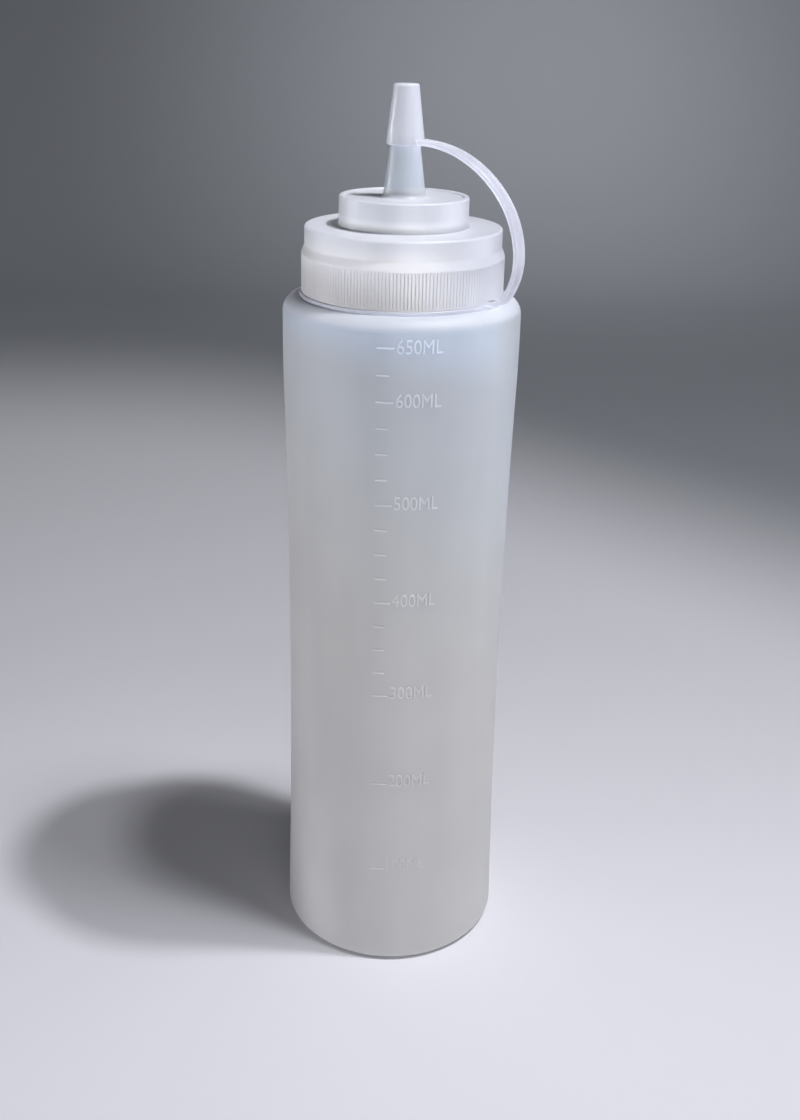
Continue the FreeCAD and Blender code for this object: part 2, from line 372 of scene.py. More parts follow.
@dataclass(frozen=True)
class Outline:
    """A path through corners in the plane of the axis, each rounded by an arc."""

    corners: tuple[Corner, ...]
    closed: bool = True

    def _ways(self, index: int) -> tuple[Vector, Vector, Vector]:
        """Finds how the path meets a corner.

        Args:
            index: the corner's place in the row.

        Returns:
            Where it is, and the directions back and ahead from it.
        """
        count = len(self.corners)
        here, before, after = (Vector((c.r, c.z)) for c in (
            self.corners[index], self.corners[index - 1], self.corners[(index + 1) % count]))
        return here, (before - here).normalized(), (after - here).normalized()

    def points(self) -> list[Point]:
        """Rounds the corners.

        Returns:
            The path's points (r, z), with arcs cut in steps of ARC_STEP and ROW_GAP at most.
        """
        found: list[Point] = []
        last = len(self.corners) - 1
        for index, corner in enumerate(self.corners):
            if corner.radius <= 0 or (not self.closed and index in (0, last)):
                found.append((corner.r, corner.z))
                continue
            here, back, ahead = self._ways(index)
            half = back.angle(ahead) / 2
            reach = corner.radius / math.tan(half)
            entry = here + back * reach
            leave = here + ahead * reach
            centre = here + (back + ahead).normalized() * (corner.radius / math.sin(half))
            turn = math.pi - 2 * half
            steps = max(4, math.ceil(turn / ARC_STEP), math.ceil(turn * corner.radius / ROW_GAP))
            start = entry - centre
            sign = 1 if start.x * (leave - centre).y - start.y * (leave - centre).x > 0 else -1
            for step in range(steps + 1):
                angle = sign * turn * step / steps
                swing = Matrix.Rotation(angle, 2)
                spot = centre + swing @ start
                found.append((spot.x, spot.y))
        return found

    def inset(self, distance: float) -> "Outline":
        """Moves an open path to its left, each arc keeping its centre.

        Args:
            distance: how far the path moves.

        Returns:
            The moved path.
        """
        places = [Vector((c.r, c.z)) for c in self.corners]
        ways = [(b - a).normalized() for a, b in zip(places, places[1:])]
        lefts = [Vector((-way.y, way.x)) for way in ways]
        moved = [Corner(*(places[0] + lefts[0] * distance))]
        for index in range(1, len(places) - 1):
            before, after = ways[index - 1], ways[index]
            both = lefts[index - 1] + lefts[index]
            spot = places[index] + both * (distance / (1 + before.dot(after)))
            shift = -distance if lefts[index - 1].dot(after) > 0 else distance
            radius = self.corners[index].radius
            moved.append(Corner(spot.x, spot.y, max(radius + shift, 0) if radius > 0 else 0))
        moved.append(Corner(*(places[-1] + lefts[-1] * distance)))
        return Outline(tuple(moved), closed=False)


class Workshop:
    """Makes, joins and finishes meshes."""

    @staticmethod
    def piece(name: str, work: bmesh.types.BMesh) -> Thing:
        """Turns a working mesh into an object at the origin.

        Args:
            name: the object's name.
            work: the working mesh, which is freed.

        Returns:
            The object, linked to the scene.
        """
        mesh = bpy.data.meshes.new(name)
        work.to_mesh(mesh)
        work.free()
        return linked(name, mesh)

    @staticmethod
    def turned(name: str, points: Sequence[Point], around: int = AROUND) -> Thing:
        """Turns a closed outline round the axis.

        Args:
            name: the object's name.
            points: the outline's points (r, z); those on the axis become poles.
            around: how many facets go round.

        Returns:
            The closed, outward-facing object.
        """
        work = bmesh.new()
        rings: list[list[bmesh.types.BMVert]] = []
        for r, z in points:
            if abs(r) < FLAT:
                rings.append([work.verts.new((0, 0, z))] * around)
                continue
            turns = (2 * math.pi * step / around for step in range(around))
            rings.append([work.verts.new(polar(r, turn, z)) for turn in turns])
        for low, high in zip(rings, rings[1:] + rings[:1]):
            for step in range(around):
                ahead = (step + 1) % around
                loop = (low[step], low[ahead], high[ahead], high[step])
                distinct = list(dict.fromkeys(loop))
                if len(distinct) > 2:
                    work.faces.new(distinct)
        bmesh.ops.remove_doubles(work, verts=work.verts, dist=FLAT)
        bmesh.ops.recalc_face_normals(work, faces=work.faces)
        return Workshop.piece(name, work)

    @staticmethod
    def lofted(name: str, loops: Sequence[Sequence[Vector]]) -> Thing:
        """Skins a row of equal loops and closes its ends.

        Args:
            name: the object's name.
            loops: closed sections with the same number of points.

        Returns:
            The closed, outward-facing object.
        """
        work = bmesh.new()
        rows = [[work.verts.new(spot) for spot in loop] for loop in loops]
        for low, high in zip(rows, rows[1:]):
            for step in range(len(low)):
                ahead = (step + 1) % len(low)
                work.faces.new((low[step], low[ahead], high[ahead], high[step]))
        work.faces.new(rows[0])
        work.faces.new(rows[-1])
        bmesh.ops.recalc_face_normals(work, faces=work.faces)
        return Workshop.piece(name, work)

    @staticmethod
    def baked(thing: Thing) -> None:
        """Replaces an object's mesh by its evaluated one and drops its modifiers.

        Args:
            thing: the object, which keeps the new mesh.
        """
        depsgraph = bpy.context.evaluated_depsgraph_get()
        mesh = bpy.data.meshes.new_from_object(thing.evaluated_get(depsgraph))
        thing.modifiers.clear()
        spare = thing.data
        thing.data = mesh
        bpy.data.meshes.remove(spare)

    @staticmethod
    def fused(base: Thing, tools: Iterable[Thing]) -> None:
        """Makes base and the closed tools one closed mesh, and removes the tools.

        Args:
            base: the object that keeps the result.
            tools: closed objects that overlap it.
        """
        tools = list(tools)
        for tool in tools:
            union = base.modifiers.new(tool.name, "BOOLEAN")
            union.operation = "UNION"
            union.solver = "MANIFOLD"
            union.object = tool
        Workshop.baked(base)
        for tool in tools:
            bpy.data.objects.remove(tool)

    @staticmethod
    def finished(thing: Thing, material: Material, slot: str,
                 node: str) -> None:
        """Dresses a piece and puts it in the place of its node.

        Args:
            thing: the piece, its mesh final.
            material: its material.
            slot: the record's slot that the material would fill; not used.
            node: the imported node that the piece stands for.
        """
        mesh = thing.data
        mesh.materials.clear()
        mesh.materials.append(material)
        mesh.polygons.foreach_set("material_index", [0] * len(mesh.polygons))
        mesh.shade_smooth()
        mesh.set_sharp_from_angle(angle=CREASE)
        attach(thing, BODY)
        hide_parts(node)
        LOG.info("%s: %d faces, stands for %s", thing.name, len(mesh.polygons), node)


class GeometryRecipe:
    """A geometry tree with named inputs, run once on an empty mesh."""

    SOCKETS = {int: "NodeSocketInt", float: "NodeSocketFloat"}

    def __init__(self, name: str, sizes: Mapping[str, Union[int, float]]) -> None:
        """Args:
            name: the tree's name.
            sizes: the inputs by name, with their values.
        """
        self.name = name
        self.sizes = sizes
        self.tree = bpy.data.node_groups.new(name, "GeometryNodeTree")
        self.sheet = NodeSheet(self.tree)
        self.identifiers: dict[str, str] = {}
        for label, size in sizes.items():
            socket = self.tree.interface.new_socket(
                name=label, in_out="INPUT", socket_type=self.SOCKETS[type(size)])
            self.identifiers[label] = socket.identifier
        self.tree.interface.new_socket(name="Geometry", in_out="OUTPUT",
                                       socket_type="NodeSocketGeometry")
        self.entry = self.sheet.node("NodeGroupInput")

    def size(self, label: str) -> Signal:
        """Returns a named input as a signal."""
        return Signal(self.sheet, self.entry.outputs[label])

    def bar(self, start: Union[Signal, Place], end: Union[Signal, Place],
            section: Node) -> Node:
        """Adds a capped bar of one section between two places."""
        run = self.sheet.node("GeometryNodeCurvePrimitiveLine", {"Start": start, "End": end})
        return self.sheet.node("GeometryNodeCurveToMesh", {
            "Curve": run, "Profile Curve": section, "Fill Caps": True})

    def run(self, repeats: Inputs, material: Material) -> Thing:
        """Ends the tree, evaluates it and keeps the result as a plain mesh.

        Args:
            repeats: the inputs of the node that puts instances on points.
            material: the material that the tree sets.

        Returns:
            The object with the realized mesh and no modifier.
        """
        placed = self.sheet.node("GeometryNodeInstanceOnPoints", repeats)
        real = self.sheet.node("GeometryNodeRealizeInstances", {0: placed})
        dressed = self.sheet.node("GeometryNodeSetMaterial",
                                  {"Geometry": real, "Material": material})
        self.sheet.node("NodeGroupOutput", {0: dressed})
        thing = linked(self.name, bpy.data.meshes.new(self.name))
        modifier = thing.modifiers.new(self.name, "NODES")
        modifier.node_group = self.tree
        for label, identifier in self.identifiers.items():
            modifier[identifier] = self.sizes[label]
        Workshop.baked(thing)
        return thing


# ---- bottle


@dataclass(frozen=True)
class Thread:
    """A single-start screw thread: a ridge that fades in and out along a helix."""

    root_r: float
    crest_r: float
    start_z: float
    pitch: float = 5.0 * MM
    turns: float = 1.75
    root_w: float = 2.2 * MM
    crest_w: float = 0.9 * MM
    fade: float = 25 * DEG
    bite: float = 0.25 * MM
    steps_per_turn: int = 96

    def build(self, name: str) -> Thing:
        """Builds the ridge, its root a little inside the wall that carries it.

        Args:
            name: the object's name.

        Returns:
            The closed ridge.
        """
        depth = self.crest_r - self.root_r
        bite = math.copysign(self.bite, depth)
        steps = round(self.steps_per_turn * self.turns)
        loops = []
        for step in range(steps + 1):
            angle = 2 * math.pi * self.turns * step / steps
            travel = min(angle, 2 * math.pi * self.turns - angle)
            rise = math.sin(min(travel / self.fade, 1) * math.pi / 2)
            z = self.start_z + self.pitch * angle / (2 * math.pi)
            crest = self.root_r + depth * rise - bite * 0.5 * (1 - rise)
            section = ((self.root_r - bite, -self.root_w / 2), (crest, -self.crest_w / 2),
                       (crest, self.crest_w / 2), (self.root_r - bite, self.root_w / 2))
            loops.append([Vector(polar(r, angle, z + rise_z)) for r, rise_z in section])
        return Workshop.lofted(name, loops)


@dataclass(frozen=True)
class Graduation:
    """Raised ticks and figures in millilitres, up one side of the wall."""

    zero_z: float = 3.8 * MM
    per_hundred: float = 30.282 * MM
    first: int = 100
    last: int = 650
    step: int = 25
    numbered_step: int = 100
    ticks_from: int = 325
    tick_left: float = -10.9 * DEG
    long_tick: float = 4.8 * MM
    short_tick: float = 3.4 * MM
    tick_thick: float = 0.48 * MM
    figures_left: float = -1.7 * DEG
    figures_width: float = 12.5 * MM
    figures_height: float = 3.95 * MM
    figures_zero_z: float = 5.8 * MM
    figures_per_hundred: float = 30.05 * MM
    tick_relief: float = 0.26 * MM
    figures_relief: float = 0.2 * MM
    sunk: float = 0.3 * MM
    tick_edge: float = 0.15 * MM
    edge_steps: int = 2
    figures_steps: int = 3
    figures_depth: float = 0.1
    weld: float = 0.01 * MM

    def height(self, volume: float) -> float:
        """Returns the height of a volume's mark."""
        return self.zero_z + self.per_hundred * volume / 100

    def figures_z(self, volume: float) -> float:
        """Returns the middle height of a volume's figures, which stand a little over its tick."""
        return self.figures_zero_z + self.figures_per_hundred * volume / 100

    def numbered(self) -> list[int]:
        """Returns the volumes that have figures beside them."""
        rounds = range(self.first, self.last, self.numbered_step)
        return [*rounds, self.last]

    def ticks(self, material: Material) -> Thing:
        """Builds the ticks flat: X along the wall from their left end, Y into it, Z up.

        Args:
            material: the material that the tree sets.

        Returns:
            All ticks as one mesh.
        """
        recipe = GeometryRecipe("graduation_ticks", {
            "Marks": (self.last - self.first) // self.step + 1,
            "Marks Per Number": self.numbered_step // self.step,
            "First Short Mark": (self.ticks_from - self.first) // self.step,
            "First Height": self.height(self.first),
            "Spacing": self.height(self.step) - self.height(0),
            "Long Tick": self.long_tick,
            "Short Tick": self.short_tick,
            "Thickness": self.tick_thick,
            "Depth": self.tick_relief + self.sunk,
            "Edge": self.tick_edge,
        })
        sheet, size = recipe.sheet, recipe.size
        index = sheet.signal("GeometryNodeInputIndex")
        last_mark = size("Marks") - 1.5
        is_long = ((index % size("Marks Per Number")) < 0.5).either(index > last_mark)
        kept = is_long.either(index > size("First Short Mark") - 0.5)
        length = is_long * (size("Long Tick") - size("Short Tick")) + size("Short Tick")
        marks = sheet.node("GeometryNodeMeshLine", {
            "Count": size("Marks"), "Start Location": sheet.vector(z=size("First Height")),
            "Offset": sheet.vector(z=size("Spacing"))}, mode="OFFSET")
        section = sheet.node("GeometryNodeCurvePrimitiveQuadrilateral", {
            "Width": size("Depth"), "Height": size("Thickness")}, mode="RECTANGLE")
        soft = sheet.node("GeometryNodeFilletCurve", {
            "Curve": section, "Radius": size("Edge"), "Count": self.edge_steps}, mode="POLY")
        bar = recipe.bar((0, 0, 0), (1, 0, 0), soft)
        return recipe.run({"Points": marks, "Selection": kept, "Instance": bar,
                           "Scale": sheet.vector(length, 1.0, 1.0)}, material)

    def figures(self) -> list[Thing]:
        """Builds the figures flat, in the same way as the ticks.

        Returns:
            One mesh for each volume, the widest first, from which all take their scale.
        """
        made = []
        widest: Optional[Vector] = None
        for volume in reversed(self.numbered()):
            curve = bpy.data.curves.new(f"figures_{volume}", "FONT")
            curve.body = f"{volume}ML"
            curve.extrude = self.figures_depth
            curve.resolution_u = self.figures_steps
            writing = linked(curve.name, curve)
            depsgraph = bpy.context.evaluated_depsgraph_get()
            mesh = bpy.data.meshes.new_from_object(writing.evaluated_get(depsgraph))
            bpy.data.objects.remove(writing)
            bpy.data.curves.remove(curve)
            low, high = (Vector(most(v.co[axis] for v in mesh.vertices) for axis in range(3))
                         for most in (min, max))
            widest = widest or high - low
            wide = self.figures_width / widest.x
            tall = self.figures_height / widest.y
            deep = (self.figures_relief + self.sunk) / widest.z
            middle = (low + high) / 2
            for vertex in mesh.vertices:
                spot = vertex.co
                vertex.co = ((spot.x - low.x) * wide, -(spot.z - middle.z) * deep,
                             (spot.y - middle.y) * tall + self.figures_z(volume))
            work = bmesh.new()
            work.from_mesh(mesh)
            bpy.data.meshes.remove(mesh)
            bmesh.ops.remove_doubles(work, verts=work.verts, dist=self.weld)
            bmesh.ops.recalc_face_normals(work, faces=work.faces)
            made.append(Workshop.piece(f"figures_{volume}", work))
        return made

    def wrapped(self, thing: Thing, left: float, relief: float,
                wall_r: Callable[[float], float]) -> Thing:
        """Bends a flat mark round the wall.

        Args:
            thing: the mark, as ticks and figures build it.
            left: the azimuth of its left end, from -Y towards +X.
            relief: how far it stands out of the wall.
            wall_r: the wall's outer radius at a height.

        Returns:
            The same object.
        """
        middle = (relief - self.sunk) / 2
        for vertex in thing.data.vertices:
            along, inward, z = vertex.co
            radius = wall_r(z)
            azimuth = left + along / radius
            reach = radius + middle - inward
            vertex.co = (reach * math.sin(azimuth), -reach * math.cos(azimuth), z)
        return thing


@dataclass(frozen=True)
class Bottle:
    """The blow-moulded shell: push-up base, waisted side, flat shoulder and threaded neck."""

    side_r: float
    shoulder_z: float
    mouth_z: float
    wall: float = 1.0 * MM
    base_r: float = 34.2 * MM
    base_corner: float = 2.6 * MM
    foot_inner_r: float = 28.5 * MM
    foot_edge: float = 1.2 * MM
    push_up: float = 2.2 * MM
    push_up_slope: float = 9.0 * MM
    waist_z: float = 95.3 * MM
    waist_lean: float = 0.0225
    waist_round: float = 3400 * MM
    flare_top_z: float = 189.0 * MM
    flare_round: float = 420 * MM
    shoulder_corner: float = 4.6 * MM
    neck_r: float = 25.8 * MM
    neck_root: float = 0.8 * MM
    thread_depth: float = 0.9 * MM
    thread_start: float = 5.0 * MM
    rim_round: float = 0.35 * MM
    rim_steps: int = 3
    finish: MilkyPlastic = FROSTED_BODY
    graduation: Graduation = Graduation()

    @classmethod
    def from_frame(cls) -> "Bottle":
        """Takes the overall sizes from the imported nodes.

        Returns:
            The bottle, ready to build.
        """
        _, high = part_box("bottle")
        ring_low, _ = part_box("tip_cap")
        return cls(side_r=high.x, shoulder_z=ring_low.z, mouth_z=high.z)

    def outside(self) -> Outline:
        """Returns the outer outline, from the middle of the base to the mouth."""
        waist_r = self.base_r - self.waist_lean * self.waist_z
        return Outline((
            Corner(0, self.push_up),
            Corner(self.foot_inner_r - self.push_up_slope, self.push_up, self.push_up_slope),
            Corner(self.foot_inner_r, 0, self.foot_edge),
            Corner(self.base_r, 0, self.base_corner),
            Corner(waist_r, self.waist_z, self.waist_round),
            Corner(self.side_r, self.flare_top_z, self.flare_round),
            Corner(self.side_r, self.shoulder_z, self.shoulder_corner),
            Corner(self.neck_r, self.shoulder_z, self.neck_root),
            Corner(self.neck_r, self.mouth_z),
        ), closed=False)

    @lru_cache(maxsize=None)
    def side(self) -> tuple[list[float], list[float]]:
        """Returns heights up the side and the outer radius at each."""
        climb = [(z, r) for r, z in self.outside().points() if r > self.base_r * 0.9]
        return [z for z, _ in climb], [r for _, r in climb]

    def wall_r(self, z: float) -> float:
        """Measures the side.

        Args:
            z: a height between the base and the shoulder.

        Returns:
            The side's outer radius there.
        """
        heights, radii = self.side()
        above = min(max(bisect(heights, z), 1), len(heights) - 1)
        share = (z - heights[above - 1]) / max(heights[above] - heights[above - 1], FLAT)
        return radii[above - 1] + (radii[above] - radii[above - 1]) * min(max(share, 0), 1)

    def paint_mark_highlights(self, shell: Thing) -> None:
        """Notes how much paler each raised point is painted, a painted highlight weaker lower
        down.

        Args:
            shell: the shell, its marks fused.
        """
        marks = self.graduation
        low = marks.height(marks.first) - marks.figures_height
        high = marks.height(marks.last) + marks.figures_height
        # Painted highlight: raised points are painted paler, more towards the shoulder.
        relief = shell.data.attributes.new(MARK_HIGHLIGHT, "FLOAT", "POINT")
        for point, note in zip(shell.data.vertices, relief.data):
            x, y, z = point.co
            if low < z < high and math.hypot(x, y) > self.wall_r(z) + marks.figures_relief / 2:
                note.value = z / self.shoulder_z

    def thread(self) -> Thread:
        """Returns the ridge round the neck, under the skirt."""
        return Thread(self.neck_r, self.neck_r + self.thread_depth,
                      self.shoulder_z + self.thread_start)

    def build(self) -> None:
        """Builds the shell with its thread and graduation, in one closed mesh."""
        outer = self.outside().points()
        inner = self.outside().inset(self.wall).points()
        turns = [math.pi / 2 * step / self.rim_steps for step in range(self.rim_steps + 1)]
        mouth = [(self.neck_r - self.rim_round * (1 - math.cos(turn)),
                  self.mouth_z - self.rim_round * (1 - math.sin(turn))) for turn in turns]
        far = [(2 * self.neck_r - self.wall - r, z) for r, z in reversed(mouth)]
        shell = Workshop.turned("frosted_bottle", [*outer[:-1], *mouth, *far, *inner[-2::-1]])
        marks = self.graduation
        material = self.finish.material()
        tools = [marks.wrapped(marks.ticks(material), marks.tick_left, marks.tick_relief,
                               self.wall_r)]
        tools += [marks.wrapped(figures, marks.figures_left, marks.figures_relief, self.wall_r)
                  for figures in marks.figures()]
        tools.append(self.thread().build("neck_thread"))
        Workshop.fused(shell, tools)
        self.paint_mark_highlights(shell)
        Workshop.finished(shell, material, self.finish.name, "bottle")


# ---- screw cap


@dataclass(frozen=True)
class Knurl:
    """Upright ribs round the skirt, for grip."""

    count: int = 184
    height: float = 0.14 * MM
    width: float = 1.1 * MM
    sides: int = 8

    def build(self, crest_r: float, low_z: float, high_z: float,
              material: Material) -> Thing:
        """Builds the ribs.

        Args:
            crest_r: how far the ribs reach from the axis.
            low_z: their lower end.
            high_z: their upper end.
            material: the material that the tree sets.

        Returns:
            The ribs as one mesh.
        """
        recipe = GeometryRecipe("skirt_ribs", {
            "Ribs": self.count,
            "Centre Radius": crest_r - self.height,
            "Rib Radius": self.height,
            "Rib Width": self.width / (2 * self.height),
            "Low": low_z,
            "High": high_z,
        })
        sheet, size = recipe.sheet, recipe.size
        turn = sheet.signal("GeometryNodeInputIndex") * (2 * math.pi) / size("Ribs")
        east, north = (size("Centre Radius") * turn.maths(part, turn)
                       for part in ("COSINE", "SINE"))
        places = sheet.node("GeometryNodeMeshLine", {"Count": size("Ribs")}, mode="OFFSET")
        ring = sheet.node("GeometryNodeSetPosition",
                          {"Geometry": places, "Position": sheet.vector(east, north)})
        section = sheet.node("GeometryNodeCurvePrimitiveCircle", {
            "Resolution": self.sides, "Radius": size("Rib Radius")}, mode="RADIUS")
        bar = recipe.bar(sheet.vector(z=size("Low")), sheet.vector(z=size("High")), section)
        facing = sheet.signal("FunctionNodeEulerToRotation", {0: sheet.vector(z=turn)})
        return recipe.run({"Points": ring, "Instance": bar, "Rotation": facing,
                           "Scale": sheet.vector(1.0, size("Rib Width"), 1.0)}, material)


@dataclass(frozen=True)
class ScrewCap:
    """Skirt, two tiers and the hollow cone that pours, in one moulding."""

    skirt_r: float
    skirt_z: float
    tip_z: float
    plate_z: float
    wall: float = 1.5 * MM
    skirt_inner_r: float = 27.5 * MM
    skirt_h: float = 11.0 * MM
    band_h: float = 0.5 * MM
    groove_end: float = 0.7 * MM
    rib_end: float = 0.4 * MM
    thread_depth: float = 0.9 * MM
    thread_start: float = 3.8 * MM
    step_h: float = 2.2 * MM
    step_round: float = 2.0 * MM
    lower_r: float = 28.3 * MM
    lower_top_z: float = 228.2 * MM
    lower_rim: float = 0.8 * MM
    lower_foot: float = 0.3 * MM
    upper_r: float = 18.6 * MM
    upper_draft: float = 0.15 * MM
    upper_top_z: float = 236.6 * MM
    upper_rim: float = 0.5 * MM
    lip_w: float = 1.3 * MM
    lip_h: float = 0.5 * MM
    nozzle_lean: float = 0.1255
    nozzle_wall: float = 1.1 * MM
    nozzle_root: float = 1.6 * MM
    nozzle_tip_r: float = 2.407 * MM
    edge: float = 0.15 * MM
    knurl: Knurl = Knurl()
    finish: MilkyPlastic = MILKY_CAP

    @classmethod
    def from_frame(cls) -> "ScrewCap":
        """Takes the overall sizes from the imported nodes.

        Returns:
            The cap, ready to build.
        """
        low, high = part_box("nozzle_cap")
        _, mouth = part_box("bottle")
        return cls(skirt_r=high.x, skirt_z=low.z, tip_z=high.z, plate_z=mouth.z)

    def nozzle_r(self, z: float) -> float:
        """Returns the cone's outer radius at a height."""
        return self.nozzle_tip_r + self.nozzle_lean * (self.tip_z - z)

    def outline(self) -> Outline:
        """Draws the whole moulding.

        Returns:
            The closed outline, which starts inside the skirt's lower end.
        """
        rib_root = self.skirt_r - self.knurl.height
        step_z = self.skirt_z + self.skirt_h
        floor_z = self.upper_top_z - self.lip_h
        ceiling_z = floor_z - self.wall
        top_r = self.upper_r - self.upper_draft
        edge = self.edge
        return Outline((
            Corner(self.skirt_inner_r, self.skirt_z, edge),
            Corner(self.skirt_r, self.skirt_z, edge),
            Corner(self.skirt_r, self.skirt_z + self.band_h, edge / 2),
            Corner(rib_root, self.skirt_z + self.groove_end, edge / 2),
            Corner(rib_root, step_z - self.groove_end, edge / 2),
            Corner(self.skirt_r, step_z - self.band_h, edge),
            Corner(self.skirt_r, step_z, self.step_round),
            Corner(self.lower_r, step_z + self.step_h, self.step_round),
            Corner(self.lower_r, self.lower_top_z, self.lower_rim),
            Corner(self.upper_r, self.lower_top_z, self.lower_foot),
            Corner(top_r, self.upper_top_z, self.upper_rim),
            Corner(top_r - self.lip_w, self.upper_top_z, edge),
            Corner(top_r - self.lip_w - self.lip_h, floor_z, edge),
            Corner(self.nozzle_r(floor_z), floor_z, self.nozzle_root),
            Corner(self.nozzle_r(self.tip_z), self.tip_z, edge),
            Corner(self.nozzle_r(self.tip_z) - self.nozzle_wall, self.tip_z, edge),
            Corner(self.nozzle_r(ceiling_z) - self.nozzle_wall, ceiling_z, 2 * edge),
            Corner(self.upper_r - self.wall, ceiling_z, 2 * edge),
            Corner(self.upper_r - self.wall, self.plate_z, edge),
            Corner(self.skirt_inner_r, self.plate_z, 2 * edge),
        ))

    def thread(self) -> Thread:
        """Returns the ridge inside the skirt, half a pitch above the neck's."""
        start_z = self.skirt_z + self.thread_start + Thread.pitch / 2
        return Thread(self.skirt_inner_r, self.skirt_inner_r - self.thread_depth, start_z)

    def build(self) -> None:
        """Builds the cap with its ribs and thread, in one closed mesh."""
        material = self.finish.material()
        cap = Workshop.turned("screw_cap", self.outline().points())
        ribs = self.knurl.build(self.skirt_r, self.skirt_z + self.rib_end,
                                self.skirt_z + self.skirt_h - self.rib_end, material)
        Workshop.fused(cap, [ribs, self.thread().build("skirt_thread")])
        Workshop.finished(cap, material, self.finish.name, "nozzle_cap")


# ---- tethered tip cap


@dataclass(frozen=True)
class Bend:
    """One arc of the strap: its radius, and how far it turns downwards."""

    radius: float
    sweep: float


@dataclass(frozen=True)
class Strap:
    """The flat strap from the tip cap down to the ring, in a plane through the axis."""

    width: float = 4.8 * MM
    thick: float = 1.45 * MM
    edge: float = 0.45 * MM
    start_r: float = 3.6 * MM
    bend_r: float = 5.0 * MM
    start_z: float = 251.44 * MM
    rise: float = 1.5 * DEG
    bends: tuple[Bend, ...] = (
        Bend(32.8 * MM, 56.8 * DEG), Bend(26.7 * MM, 31.3 * DEG),
        Bend(19.7 * MM, 38.0 * DEG), Bend(4.3 * MM, 55.4 * DEG))
    end_r: float = 29.5 * MM
    root_reach: float = 4.5 * MM
    root_swell: float = 0.55
    step: float = 3 * DEG
    edge_steps: int = 3

    def section(self, spot: Vector, normal: Vector, swell: float) -> list[Vector]:
        """Draws the rounded section at a place on the strap's centre line.

        Args:
            spot: the place, in the strap's own XZ plane.
            normal: the outward normal of its outer face there.
            swell: how much thicker the strap is there, as a share.

        Returns:
            The section's corners in order.
        """
        across = Vector((0, 1, 0))
        half_w = self.width / 2
        half_t = self.thick / 2 * (1 + swell)
        loop = []
        for side_t, side_w in ((1, 1), (1, -1), (-1, -1), (-1, 1)):
            start = 0 if side_t * side_w > 0 else 1
            for step in range(self.edge_steps + 1):
                turn = math.pi / 2 * abs(start - step / self.edge_steps)
                w = half_w - self.edge + self.edge * math.sin(turn)
                t = half_t - self.edge + self.edge * math.cos(turn)
                loop.append(spot + across * (side_w * w) + normal * (side_t * t))
        return loop

    @staticmethod
    def normal(heading: float) -> Vector:
        """Returns the outer face's normal where the strap runs at an angle above level."""
        return Vector((-math.sin(heading), 0, math.cos(heading)))

    def line(self) -> list[tuple[Vector, Vector]]:
        """Walks the strap's bends from the sleeve down to the ring.

        Returns:
            Places on the centre line, each with the outer face's normal.
        """
        heading = self.rise
        way = Vector((math.cos(heading), 0, math.sin(heading)))
        normal = self.normal(heading)
        place = Vector((self.bend_r, 0, self.start_z))
        found = [(place + way * (self.start_r - self.bend_r), normal)]
        for bend in self.bends:
            hub = place - normal * bend.radius
            steps = max(3, math.ceil(bend.sweep / self.step))
            for count in range(steps + 1):
                normal = self.normal(heading - bend.sweep * count / steps)
                found.append((hub + normal * bend.radius, normal))
            found.pop()
            heading -= bend.sweep
            normal = self.normal(heading)
            place = hub + normal * bend.radius
        found.append((place, normal))
        found.append((Vector((self.end_r, 0, place.z)), normal))
        return found

    def build(self, name: str) -> Thing:
        """Builds the strap, thicker where it leaves the sleeve.

        Args:
            name: the object's name.

        Returns:
            The closed strap, in the XZ plane.
        """
        loops = []
        travelled = 0.0
        before = None
        for spot, normal in self.line():
            travelled += (spot - before).length if before is not None else 0.0
            before = spot
            share = max(0.0, 1 - travelled / self.root_reach)
            loops.append(self.section(spot, normal, self.root_swell * share * share))
        return Workshop.lofted(name, loops)


